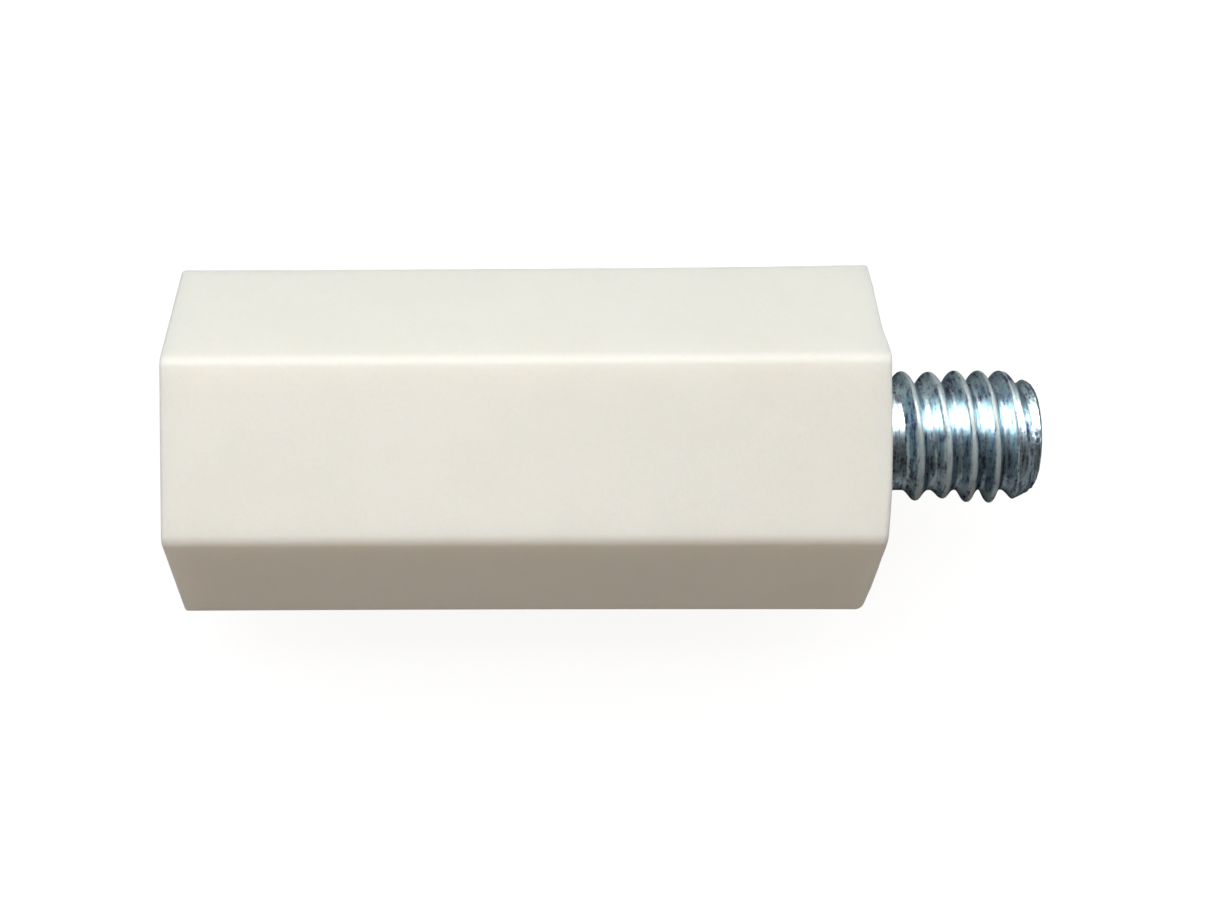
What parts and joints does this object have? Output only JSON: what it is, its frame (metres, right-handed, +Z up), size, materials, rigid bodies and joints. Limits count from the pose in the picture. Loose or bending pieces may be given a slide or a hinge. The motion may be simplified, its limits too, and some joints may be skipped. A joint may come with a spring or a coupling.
{
  "type": "hex standoff",
  "caption": "Hexagonal insulating standoff with a threaded metal stud moulded into one end and a blind tapped insert in the other.",
  "frame": {"origin": "on the standoff's axis, at the centre of the shoulder that the stud stands out of", "axes": "+X along the axis out of the stud, +Z up from the flat that the body lies on, +Y across it towards a ridge"},
  "size_m": [0.0487, 0.02, 0.0174],
  "materials": {
    "moulding": "off-white moulded polyester with a soft sheen",
    "zinc_steel": "clear blue zinc plating over a rolled thread"
  },
  "bodies": {
    "root": {"hex_body": "moulding", "stud_screw": "zinc_steel", "threaded_insert": "zinc_steel"}
  },
  "joints": []
}
